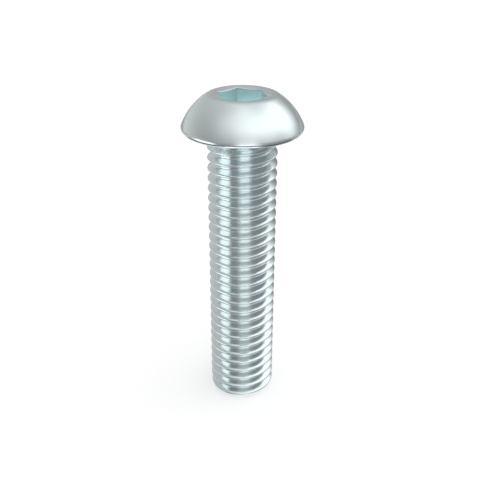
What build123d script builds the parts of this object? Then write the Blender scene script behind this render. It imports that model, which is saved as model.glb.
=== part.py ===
from build123d import *
import os
from math import atan2, cos, degrees, hypot, radians, sqrt, tan

os.makedirs("parts", exist_ok=True)

# Button head screw with a hexagon socket and a metric coarse thread, made in one piece.
# Millimetres. +Z runs along the screw, from its end face at z = 0 to its head, and +X passes through
# a corner of the socket. The shank is drawn at the thread's major diameter.

# Shank
thread_dia = 8.0            # major diameter of the thread
thread_pitch = 1.25
length = 35.0               # end face to bearing face
root_clearance = 0.4        # how far inside the root of the thread the end face stops
end_angle = 33.0            # between the end face and its chamfer
neck_fillet = 0.4           # where the shank meets the bearing face

# Head
head_dia = 13.7
head_height = 4.1
rim_round = 0.45            # rounding between the bearing face and the dome
land_width = 0.6            # flat ring between the socket's mouth and the dome

# Socket
across_flats = 5.0
socket_depth = 2.6          # top of the head to the lower end of the flats
mouth_width = 0.31          # from the corners of the flats to the edge of the countersunk mouth
mouth_angle = 150.0         # included angle of that countersink
drill_angle = 120.0         # included angle of the cone that the pilot drill leaves

# What follows from them
thread_depth = 17 / 24 * thread_pitch * sqrt(3) / 2     # of an external ISO thread
shank_r = thread_dia / 2
end_r = shank_r - thread_depth - root_clearance
end_taper = (shank_r - end_r) * tan(radians(end_angle))
head_r = head_dia / 2
drill_r = across_flats / 2
corner_r = drill_r / cos(radians(30))
mouth_r = corner_r + mouth_width
land_r = mouth_r + land_width
top = length + head_height

# The rim arc touches the bearing face and reaches the full head diameter. The dome arc is centred on
# the axis, passes through the edge of the land and runs on from the rim arc without a kink, which
# gives a quadratic for the height of its centre above the bearing face.
rim_x = head_r - rim_round
rise = head_height - rim_round
k = land_r**2 + head_height**2 - rim_x**2 - 2 * rim_round**2
qa = rise**2 - rim_round**2
qb = 2 * rim_round**3 - k * rise
qc = k**2 / 4 - rim_round**2 * (rim_x**2 + rim_round**2)
dome_centre = (-qb - sqrt(qb**2 - 4 * qa * qc)) / (2 * qa)
dome_r = hypot(land_r, head_height - dome_centre)
rim_end = degrees(atan2(rim_round - dome_centre, rim_x))
dome_end = degrees(atan2(head_height - dome_centre, land_r))

with BuildPart() as button_head_screw:
    # Domed head on a flat bearing face
    with BuildSketch(Plane.XZ):
        with BuildLine():
            Line((0, length), (rim_x, length))
            CenterArc((rim_x, length + rim_round), rim_round, -90, 90 + rim_end)
            CenterArc((0, length + dome_centre), dome_r, rim_end, dome_end - rim_end)
            Polyline((land_r, top), (0, top), (0, length))
        make_face()
    revolve(axis=Axis.Z)

    # Shank with a chamfered end, filleted into the bearing face
    with BuildSketch(Plane.XZ):
        Polygon(
            (0, 0), (end_r, 0), (shank_r, end_taper), (shank_r, length), (0, length), align=None
        )
    revolve(axis=Axis.Z)
    neck_edge = button_head_screw.edges().filter_by(GeomType.CIRCLE).filter_by(
        lambda e: abs(e.radius - shank_r) < 0.001 and abs(e.center().Z - length) < 0.001
    )
    fillet(neck_edge, radius=neck_fillet)

    # Hexagon socket with the drill's cone below it and a shallow countersink at its mouth
    with BuildSketch(Plane.XY.offset(top)):
        RegularPolygon(corner_r, side_count=6)
    extrude(amount=-socket_depth, mode=Mode.SUBTRACT)
    with BuildSketch(Plane.XZ):
        with BuildLine():
            cone_top = top - socket_depth
            cone_tip = cone_top - drill_r / tan(radians(drill_angle / 2))
            Polyline((0, cone_tip), (drill_r, cone_top), (0, cone_top), close=True)
        make_face()
        with BuildLine():
            mouth_tip = top - mouth_r / tan(radians(mouth_angle / 2))
            Polyline((0, mouth_tip), (mouth_r, top), (0, top), close=True)
        make_face()
    revolve(axis=Axis.Z, mode=Mode.SUBTRACT)

button_head_screw.part.label = "button_head_screw"
export_step(button_head_screw.part, "parts/button_head_screw.step")

print("head dome radius", round(dome_r, 3), "end face radius", round(end_r, 3), "end taper", round(end_taper, 3))
print("volume", round(button_head_screw.part.volume, 2), "mm3, solids", len(button_head_screw.solids()))
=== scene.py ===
from math import atan, atan2, cos, hypot, pi, radians, sin, sqrt, tan

import bpy
from mathutils import Matrix, Vector


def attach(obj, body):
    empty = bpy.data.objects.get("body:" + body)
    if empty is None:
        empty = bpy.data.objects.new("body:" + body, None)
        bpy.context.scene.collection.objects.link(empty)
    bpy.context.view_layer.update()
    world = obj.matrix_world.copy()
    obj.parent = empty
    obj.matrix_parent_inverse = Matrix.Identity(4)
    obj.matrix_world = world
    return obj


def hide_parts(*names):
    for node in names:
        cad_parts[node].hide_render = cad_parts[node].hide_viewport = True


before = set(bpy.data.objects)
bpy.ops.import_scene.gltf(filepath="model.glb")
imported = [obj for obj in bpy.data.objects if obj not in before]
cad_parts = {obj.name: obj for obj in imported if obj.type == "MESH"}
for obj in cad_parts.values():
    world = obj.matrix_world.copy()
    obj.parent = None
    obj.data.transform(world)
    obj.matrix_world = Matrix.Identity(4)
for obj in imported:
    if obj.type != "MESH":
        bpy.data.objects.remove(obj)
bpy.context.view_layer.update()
MM = 0.001

# ---------------------------------------------------------------- sizes, in millimetres
# Thread, with the ISO profile and full rounds at its crest and root
PITCH = 1.25
MAJOR_R = 4.0
SHARP_H = PITCH * sqrt(3) / 2
CREST_ROUND = SHARP_H / 8
ROOT_ROUND = SHARP_H / 6
DEPTH = SHARP_H - CREST_ROUND - ROOT_ROUND
CREST_AT = 32.4035          # height of one crest on the +X side
RUN_OUT = 1.3               # climb of the thread's run-out under the head, per unit of radius
RUN_OUT_GAP = 0.15          # plain shank between the run-out and the fillet

# Shank
LENGTH = 35.0               # end face to bearing face
NECK_FILLET = 0.4
ROOT_CLEARANCE = 0.4        # how far inside the thread's root the end face stops
END_R = MAJOR_R - DEPTH - ROOT_CLEARANCE
END_TAPER = (MAJOR_R - END_R) * tan(radians(33))

# Socket
FLATS_R = 2.5
SOCKET_DEPTH = 2.6
SOCKET_ROUND = 0.08         # rounding along the top of the flats
DRILL_HALF_ANGLE = radians(60)
MOUTH_WIDTH = 0.31
MOUTH_R = FLATS_R / cos(pi / 6) + MOUTH_WIDTH
MOUTH_SLOPE = tan(radians(15))

# Head
HEAD_R = 6.85
HEAD_H = 4.1
TOP = LENGTH + HEAD_H
RIM_ROUND = 0.45
LAND_WIDTH = 0.6            # before the rounding between the land and the dome
LAND_R = MOUTH_R + LAND_WIDTH
LAND_ROUND = 1.2

SEGMENTS = 120              # divides by 12, so that the socket's corners fall on it
ANGLES = [2 * pi * j / SEGMENTS for j in range(SEGMENTS)]
SHARP_FROM = radians(28)    # edges that turn more than this are shaded sharp

# The view is turned 18 degrees round the screw from -Y
VIEW_TURN = radians(18)


# ---------------------------------------------------------------- mesh
class Surface:
    """Faces built between rings of points; points that coincide are shared."""

    def __init__(self):
        self.points, self.faces, self.index = [], [], {}

    def point(self, r, angle, z):
        key = (round(r * cos(angle), 5), round(r * sin(angle), 5), round(z, 5))
        if key not in self.index:
            self.index[key] = len(self.points)
            self.points.append(tuple(v * MM for v in key))
        return self.index[key]

    def face(self, *corners):
        ring = [c for i, c in enumerate(corners) if c not in corners[:i]]
        if len(ring) > 2:
            self.faces.append(ring)

    def band(self, lower, upper):
        """lower and upper give (r, z) for an angle, and the outside is on the right going up."""
        for j, a in enumerate(ANGLES):
            b = ANGLES[(j + 1) % SEGMENTS]
            self.face(
                self.point(lower(a)[0], a, lower(a)[1]), self.point(lower(b)[0], b, lower(b)[1]),
                self.point(upper(b)[0], b, upper(b)[1]), self.point(upper(a)[0], a, upper(a)[1]),
            )


def ring(r, z):
    return lambda angle: (r, z)


def arc_rows(r, z, radius, start, end, steps):
    """Rings along an arc round (r, z), without the one at its start."""
    angles = [start + (end - start) * i / steps for i in range(1, steps + 1)]
    return [ring(r + radius * cos(a), z + radius * sin(a)) for a in angles]


def thread_profile():
    """One pitch of the thread from root to root, as (height, depth below the crest)."""
    root = DEPTH - ROOT_ROUND
    half = [
        (ROOT_ROUND * sin(radians(a)), root + ROOT_ROUND * cos(radians(a)))
        for a in (0, 20, 40, 60)
    ]
    crest = [
        (PITCH / 2 - CREST_ROUND * sin(radians(a)), CREST_ROUND * (1 - cos(radians(a))))
        for a in (60, 40, 20)
    ]
    (foot_z, foot_d), (shoulder_z, shoulder_d) = half[-1], crest[0]
    for share in (0.33, 0.67):
        half.append((foot_z + (shoulder_z - foot_z) * share, foot_d + (shoulder_d - foot_d) * share))
    half += crest
    return half + [(PITCH / 2, 0.0)] + [(PITCH - z, d) for z, d in reversed(half[1:])]


def build_thread(surface):
    """Rows that follow the thread upwards, held inside the end's chamfer and outside the run-out."""
    top = LENGTH - NECK_FILLET
    run_out_from = top - RUN_OUT_GAP - DEPTH * RUN_OUT
    root_at = CREST_AT - PITCH / 2
    turns = range(-int(root_at / PITCH) - 2, int((top - root_at) / PITCH) + 2)
    columns = []
    for j in range(SEGMENTS + 1):
        column = []
        for turn in turns:
            for height, depth in thread_profile():
                z = min(max(root_at + PITCH * (turn + j / SEGMENTS) + height, 0.0), top)
                r = MAJOR_R - depth
                if z > run_out_from:
                    r = max(r, min(MAJOR_R, MAJOR_R - DEPTH + (z - run_out_from) / RUN_OUT))
                r = min(r, END_R + z * (MAJOR_R - END_R) / END_TAPER)
                column.append((r, z))
        columns.append(column)
    for j in range(SEGMENTS):
        a, b = ANGLES[j], ANGLES[(j + 1) % SEGMENTS]
        here, there = columns[j], columns[j + 1]
        for i in range(len(here) - 1):
            heights = (here[i][1], here[i + 1][1], there[i][1], there[i + 1][1])
            if max(heights) > 0.0 and min(heights) < top:
                surface.face(
                    surface.point(here[i][0], a, here[i][1]),
                    surface.point(there[i][0], b, there[i][1]),
                    surface.point(there[i + 1][0], b, there[i + 1][1]),
                    surface.point(here[i + 1][0], a, here[i + 1][1]),
                )


def hexagon(angle):
    off_corner = abs((angle + pi / 6) % (pi / 3) - pi / 6)
    return FLATS_R / cos(pi / 6 - off_corner)


def mouth(share):
    def row(angle):
        r = MOUTH_R + (hexagon(angle) - MOUTH_R) * share
        return r, TOP - (MOUTH_R - r) * MOUTH_SLOPE
    return row


def socket_edge(turned):
    """Rounding between the mouth, at 75 degrees, and the flat, at 0."""
    def row(angle):
        r, z = mouth(1.0)(angle)
        r += SOCKET_ROUND * (1 - cos(radians(turned)))
        z += SOCKET_ROUND * (MOUTH_SLOPE - 1 / cos(atan(MOUTH_SLOPE)) + sin(radians(turned)))
        return r, z
    return row


def wall(share):
    def row(angle):
        r, z = socket_edge(0)(angle)
        return r, z + (TOP - SOCKET_DEPTH - z) * share
    return row


def head_rows():
    """Rings from the fillet under the head, over the rim and the dome and down into the socket."""
    rows = []
    for a in range(0, 91, 15):
        rows.append(ring(MAJOR_R + NECK_FILLET * (1 - cos(radians(a))),
                         LENGTH - NECK_FILLET * (1 - sin(radians(a)))))
    rim_x = HEAD_R - RIM_ROUND
    bearing_from = MAJOR_R + NECK_FILLET
    for share in (0.5, 0.97, 1.0):
        rows.append(ring(bearing_from + (rim_x - bearing_from) * share, LENGTH))
    # Dome arc centred on the axis, tangent to the rim's arc and through the edge of the land
    rise = HEAD_H - RIM_ROUND
    k = LAND_R**2 + HEAD_H**2 - rim_x**2 - 2 * RIM_ROUND**2
    qa, qb = rise**2 - RIM_ROUND**2, 2 * RIM_ROUND**3 - k * rise
    qc = k**2 / 4 - RIM_ROUND**2 * (rim_x**2 + RIM_ROUND**2)
    centre = (-qb - sqrt(qb**2 - 4 * qa * qc)) / (2 * qa)
    dome_r = hypot(LAND_R, HEAD_H - centre)
    rim_end = atan2(RIM_ROUND - centre, rim_x)
    # Rounding that touches the dome from inside and the land from below
    land_up = HEAD_H - centre - LAND_ROUND
    land_to = sqrt((dome_r - LAND_ROUND)**2 - land_up**2)
    dome_end = atan2(land_up, land_to)
    rows += arc_rows(rim_x, LENGTH + RIM_ROUND, RIM_ROUND, -pi / 2, rim_end, 16)
    rows += arc_rows(0, LENGTH + centre, dome_r, rim_end, dome_end, 32)
    rows += arc_rows(land_to, TOP - LAND_ROUND, LAND_ROUND, dome_end, pi / 2, 8)
    rows.append(ring(MOUTH_R + 0.03, TOP))
    rows += [mouth(share) for share in (0.0, 0.1, 0.4, 0.7)]
    rows += [socket_edge(turned) for turned in (75, 60, 45, 30, 15, 0)]
    rows += [wall(share) for share in (0.33, 0.66, 0.98, 1.0)]
    bottom = TOP - SOCKET_DEPTH
    for share in (0.999, 0.97, 0.6, 0.3):
        rows.append(ring(FLATS_R * share, bottom - FLATS_R * (1 - share) / tan(DRILL_HALF_ANGLE)))
    return rows


surface = Surface()
build_thread(surface)
rows = head_rows()
for lower, upper in zip(rows, rows[1:]):
    surface.band(lower, upper)
surface.band(rows[-1], ring(0.0, TOP - SOCKET_DEPTH - FLATS_R / tan(DRILL_HALF_ANGLE)))
surface.band(ring(0.0, 0.0), ring(END_R * 0.5, 0.0))
surface.band(ring(END_R * 0.5, 0.0), ring(END_R, 0.0))

mesh = bpy.data.meshes.new("threaded_screw")
mesh.from_pydata(surface.points, [], surface.faces)
mesh.validate()
mesh.polygons.foreach_set("use_smooth", [True] * len(mesh.polygons))
mesh.set_sharp_from_angle(angle=SHARP_FROM)
screw = bpy.data.objects.new("threaded_screw", mesh)
bpy.context.collection.objects.link(screw)
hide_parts("button_head_screw")
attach(screw, "root")


# ---------------------------------------------------------------- nodes
class Nodes:
    """Short calls for building a node tree. An input is a constant or another node's output."""

    def __init__(self, tree):
        self.tree = tree

    def add(self, kind, inputs=None, **settings):
        node = self.tree.nodes.new(kind)
        for name, value in settings.items():
            setattr(node, name, value)
        for name, value in (inputs or {}).items():
            self.put(value, node.inputs[name])
        return node

    def put(self, value, socket):
        if isinstance(value, bpy.types.NodeSocket):
            self.tree.links.new(value, socket)
        else:
            socket.default_value = value

    def math(self, operation, *values, clamp=False):
        node = self.add("ShaderNodeMath", operation=operation, use_clamp=clamp)
        for socket, value in zip(node.inputs, values):
            self.put(value, socket)
        return node.outputs[0]

    def ramp(self, value, start, end, low=0.0, high=1.0):
        return self.add("ShaderNodeMapRange", {"Value": value, "From Min": start, "From Max": end,
                                               "To Min": low, "To Max": high},
                        interpolation_type="SMOOTHSTEP").outputs[0]

    def blend(self, share, a, b):
        """A colour that goes from a to b."""
        return self.add("ShaderNodeMix", {"Factor": share, "A": a, "B": b},
                        data_type="RGBA").outputs["Result"]

    def radius(self, place):
        """Distance from the screw's axis."""
        across = self.add("ShaderNodeVectorMath", {0: place, 1: (1, 1, 0)}, operation="MULTIPLY")
        return self.add("ShaderNodeVectorMath", {0: across.outputs["Vector"]},
                        operation="LENGTH").outputs["Value"]

    def azimuth(self, vector):
        """Angle round the screw from the camera's side, positive to its right, and height."""
        turned = self.add("ShaderNodeVectorRotate", {"Vector": vector, "Angle": -VIEW_TURN},
                          rotation_type="Z_AXIS")
        x, y, z = self.add("ShaderNodeSeparateXYZ", {"Vector": turned.outputs[0]}).outputs
        return self.math("ARCTAN2", x, self.math("MULTIPLY", y, -1.0)), z

    def window(self, angle, centre, half, soft):
        """1 within half of centre and 0 beyond it, in degrees, with soft edges; it wraps round."""
        off = self.math("SUBTRACT", angle, radians(centre))
        off = self.math("ABSOLUTE", self.math("WRAP", off, pi, -pi))
        return self.ramp(off, radians(half - soft), radians(half + soft), 1.0, 0.0)

    def shader(self, kind, inputs=None):
        return self.add(kind, inputs).outputs[0]

    def use(self, shader):
        """Puts shader on the material in place of the one that it starts with."""
        self.tree.nodes.remove(self.tree.nodes["Principled BSDF"])
        self.put(shader, self.tree.nodes["Material Output"].inputs["Surface"])


def new_material(name):
    material = bpy.data.materials.new(name)
    material.use_nodes = True
    return material, Nodes(material.node_tree)


# ---------------------------------------------------------------- zinc-plated steel
# Painted light: inside the socket the colour is lighter and bluer than the plating's, and its gloss
# is weaker;
# the next line gives the radius from the axis, the depth below the top of the head where this
# starts, and where it is full
SOCKET_ZONE_R, SOCKET_ZONE_FROM, SOCKET_ZONE_FULL = 3.1, 0.15, 0.30
TINT_A, TINT_B = (0.765, 0.855, 0.868, 1), (0.785, 0.865, 0.868, 1)
SOCKET_PAINTED_LIGHT = (0.84, 0.99, 0.995, 1)

metal, n = new_material("plated_steel")
bsdf = metal.node_tree.nodes["Principled BSDF"]
bsdf.inputs["Metallic"].default_value = 1.0
where = n.add("ShaderNodeTexCoord").outputs["Object"]
clouds = n.add("ShaderNodeTexNoise", {"Vector": where, "Scale": 260.0, "Detail": 3.0}).outputs["Fac"]
grain = n.add("ShaderNodeTexNoise", {"Vector": where, "Scale": 5200.0, "Detail": 2.0}).outputs["Fac"]
tint = n.blend(n.ramp(clouds, 0.35, 0.65), TINT_A, TINT_B)
height = n.add("ShaderNodeSeparateXYZ", {"Vector": where}).outputs["Z"]
in_socket = n.math("MULTIPLY",
                   n.ramp(height, (TOP - SOCKET_ZONE_FULL) * MM, (TOP - SOCKET_ZONE_FROM) * MM, 1.0, 0.0),
                   n.math("LESS_THAN", n.radius(where), SOCKET_ZONE_R * MM))
in_socket = n.math("MULTIPLY", in_socket, n.math("GREATER_THAN", height, (LENGTH - 2) * MM))
# Painted light: the colour inside the socket is lighter and bluer
n.put(n.blend(in_socket, tint, SOCKET_PAINTED_LIGHT), bsdf.inputs["Base Color"])
rough = n.math("ADD", n.ramp(clouds, 0.3, 0.7, 0.14, 0.17), n.math("MULTIPLY", grain, 0.04))
rough = n.math("ADD", rough, n.math("MULTIPLY", in_socket, 0.16))
n.put(rough, bsdf.inputs["Roughness"])
bump = n.add("ShaderNodeBump", {"Height": grain, "Strength": 0.06, "Distance": 0.00001})
n.put(bump.outputs[0], bsdf.inputs["Normal"])
screw.data.materials.append(metal)


# ---------------------------------------------------------------- floor, wall and cards, in metres
WHITE = (1, 1, 1, 1)


def grey(level):
    return (level, level, level, 1)


def stage_band(name, first, second, count):
    """Faces round the screw's axis between two circles, each given as (radius, height)."""
    points = [(r * cos(2 * pi * i / count), r * sin(2 * pi * i / count), z)
              for r, z in (first, second) for i in range(count)]
    faces = [(i, (i + 1) % count, count + (i + 1) % count, count + i) for i in range(count)]
    band_mesh = bpy.data.meshes.new(name)
    band_mesh.from_pydata(points, [], faces)
    obj = bpy.data.objects.new(name, band_mesh)
    bpy.context.collection.objects.link(obj)
    return obj


def only_reflected(obj):
    obj.visible_camera = obj.visible_diffuse = False
    obj.visible_shadow = obj.visible_transmission = False


bpy.ops.mesh.primitive_plane_add(size=6.0, location=(0, 0, 0))
floor = bpy.context.object
floor.name = "floor"
paint, n = new_material("floor_white")
rays = n.add("ShaderNodeLightPath").outputs
seen = n.math("MAXIMUM", rays["Is Camera Ray"], rays["Is Glossy Ray"])
seen = n.math("MAXIMUM", seen, rays["Is Transmission Ray"])
matt = n.shader("ShaderNodeBsdfDiffuse", {"Color": grey(0.8)})
glow = n.shader("ShaderNodeEmission", {"Color": WHITE, "Strength": n.math("MULTIPLY", seen, 0.42)})
n.use(n.shader("ShaderNodeAddShader", {0: matt, 1: glow}))
floor.data.materials.append(paint)

# A white wall far behind, which only the camera sees
BACKDROP_R, BACKDROP_UP = 1.6, 3.0
backdrop = stage_band("backdrop", (BACKDROP_R, 0.0), (BACKDROP_R, BACKDROP_UP), 90)
backdrop.visible_diffuse = backdrop.visible_glossy = backdrop.visible_shadow = False
wall_white, n = new_material("backdrop_white")
n.use(n.shader("ShaderNodeEmission", {"Color": WHITE, "Strength": 1.0}))
backdrop.data.materials.append(wall_white)

# Grey cards lying round the screw, which only reflections see, as painted reflections: gaps show the
# floor, and a painted glow is added in the left and front gaps
CARDS_FROM, CARDS_TO, CARDS_UP = 0.0042, 1.5, 0.00002
cards = stage_band("grey_cards", (CARDS_TO, CARDS_UP), (CARDS_FROM, CARDS_UP), 180)
only_reflected(cards)
card, n = new_material("grey_card")
where = n.add("ShaderNodeTexCoord").outputs["Object"]
around, _ = n.azimuth(where)
out = n.add("ShaderNodeVectorMath", {"Vector": where}, operation="LENGTH").outputs["Value"]
left_gap = n.math("MULTIPLY", n.window(around, -73, 21.5, 7), n.ramp(out, 0.004, 0.014))
front_gap = n.math("MULTIPLY", n.window(around, 9, 22, 12), n.ramp(out, 0.046, 0.075, 0.32, 1.0))
right_gap = n.math("MULTIPLY", n.window(around, 112, 8, 8), 0.25)
gaps = n.math("ADD", n.math("ADD", left_gap, front_gap), right_gap, clamp=True)
back = n.blend(n.ramp(out, 0.09, 0.20), grey(0.92), grey(0.50))
sheet = n.blend(n.window(around, 20, 106, 8), back, (0.37, 0.37, 0.38, 1))
board = n.shader("ShaderNodeBsdfDiffuse", {"Color": sheet})
clear = n.shader("ShaderNodeBsdfTransparent")
# Painted glow added in the left and front gaps, which only reflections see
painted_gap_glow_level = n.math("ADD", n.math("MULTIPLY", left_gap, 0.35), n.math("MULTIPLY", front_gap, 0.16))
painted_gap_glow = n.shader("ShaderNodeEmission", {"Color": WHITE, "Strength": painted_gap_glow_level})
cut = n.shader("ShaderNodeMixShader", {0: gaps, 1: board, 2: clear})
n.use(n.shader("ShaderNodeAddShader", {0: cut, 1: painted_gap_glow}))
cards.data.materials.append(card)

# A thin net at the back right, below the head, which dims what the thread reflects there
SCRIM_R, SCRIM_FROM, SCRIM_TO, SCRIM_FADE = 0.012, 0.0001, 0.038, 0.033
scrim = stage_band("scrim", (SCRIM_R, SCRIM_FROM), (SCRIM_R, SCRIM_TO), 90)
only_reflected(scrim)
net, n = new_material("net")
around, up = n.azimuth(n.add("ShaderNodeTexCoord").outputs["Object"])
weave = n.math("MULTIPLY", n.window(around, 162, 40, 14), n.ramp(up, SCRIM_FADE, SCRIM_TO, 1.0, 0.0))
n.use(n.shader("ShaderNodeBsdfTransparent", {"Color": n.blend(weave, WHITE, grey(0.70))}))
scrim.data.materials.append(net)

# A narrow ring under the rim of the head, whose lower edge reflects it: dark on both sides, and in
# front white inside and grey outside
RING_FROM, RING_TO, RING_UP = 0.0070, 0.0125, 0.0336
rim_cards = stage_band("rim_cards", (RING_TO, RING_UP), (RING_FROM, RING_UP), 180)
only_reflected(rim_cards)
rim_card, n = new_material("rim_card")
where = n.add("ShaderNodeTexCoord").outputs["Object"]
around, _ = n.azimuth(where)
out = n.radius(where)
sides = n.math("MAXIMUM", n.window(around, -52, 28, 5), n.window(around, 44, 21, 5))
side_part = n.math("MULTIPLY", sides, n.ramp(out, 0.0084, 0.0092, 1.0, 0.0))
front_part = n.math("MULTIPLY", n.window(around, 0, 25, 7), n.ramp(out, 0.0105, RING_TO, 1.0, 0.0))
white_part = n.math("MULTIPLY", n.window(around, 0, 19, 5), n.ramp(out, 0.0077, 0.0082, 1.0, 0.0))
level = n.math("ADD", n.math("MULTIPLY", side_part, 0.10), n.math("MULTIPLY", front_part, 0.24))
level = n.math("ADD", level, n.math("MULTIPLY", white_part, 1.4))
shine = n.shader("ShaderNodeEmission", {"Strength": level})
clear = n.shader("ShaderNodeBsdfTransparent")
solid = n.math("MAXIMUM", side_part, front_part)
n.use(n.shader("ShaderNodeMixShader", {0: solid, 1: clear, 2: shine}))
rim_cards.data.materials.append(rim_card)

# ---------------------------------------------------------------- camera
CAMERA_OUT, CAMERA_UP = 71.459, 57.849      # from the axis and above the floor, in millimetres
LOOK_DOWN, LOOK_LEFT, ROLL = 0.4735, 0.0036, 0.0009     # in radians
lens = bpy.data.cameras.new("camera")
lens.lens = 50.0
lens.sensor_width = 36.0
lens.clip_start = 0.001
camera = bpy.data.objects.new("camera", lens)
bpy.context.collection.objects.link(camera)
camera.matrix_world = (
    Matrix.Rotation(VIEW_TURN, 4, "Z")
    @ Matrix.Translation(Vector((0, -CAMERA_OUT, CAMERA_UP)) * MM)
    @ Matrix.Rotation(LOOK_LEFT, 4, "Z") @ Matrix.Rotation(pi / 2 - LOOK_DOWN, 4, "X")
    @ Matrix.Rotation(ROLL, 4, "Z")
)
bpy.context.scene.camera = camera

# ---------------------------------------------------------------- soft studio light
BASE_LIGHT = 0.35
TOP_LIGHT, TOP_FROM = 0.56, 16      # added overhead, growing from this elevation
MOST_LIGHT = 1.26
# Softboxes round the screw, in degrees: azimuth, half of its width, softness of its sides,
# elevation, half of its height, softness of top and bottom, and strength
SOFTBOXES = [
    (26, 71, 71, 56, 23, 23, 0.57),         # broad key, high on the right
    (94, 48, 48, 40, 18, 17, 0.62),         # its right half
    (111, 20, 20, 28, 20, 10, 0.62),        # and its right side, coming down
    (-74, 15, 6, -23, 31, 6, 0.62),         # low strip on the left
    (9, 18, 10, -18, 44, 16, 0.85),         # low strip in front
    (-137, 38, 38, -38, 57, 57, 0.45),      # low and wide at the back left
    (180, 60, 60, 58, 20, 16, 0.09),        # high and faint at the back
    (12, 24, 20, 46, 9, 8, 0.12),           # a little more on the left of the key
]
world = bpy.data.worlds.new("studio")
bpy.context.scene.world = world
world.use_nodes = True
n = Nodes(world.node_tree)
around, up = n.azimuth(n.add("ShaderNodeTexCoord").outputs["Generated"])
elevation = n.math("ARCSINE", up)
rise = n.add("ShaderNodeMapRange", {"Value": elevation, "From Min": radians(TOP_FROM),
                                    "From Max": radians(90)}).outputs[0]
light = n.math("ADD", BASE_LIGHT, n.math("MULTIPLY", n.math("POWER", rise, 2.0), TOP_LIGHT))
for turned, half_width, side, raised, half_height, edge, strength in SOFTBOXES:
    box = n.math("MULTIPLY", n.window(around, turned, half_width, side),
                 n.window(elevation, raised, half_height, edge))
    light = n.math("ADD", light, n.math("MULTIPLY", box, strength))
background = world.node_tree.nodes["Background"]
n.put(WHITE, background.inputs["Color"])
n.put(n.math("MINIMUM", light, MOST_LIGHT), background.inputs["Strength"])

bpy.context.scene.view_settings.view_transform = "Standard"
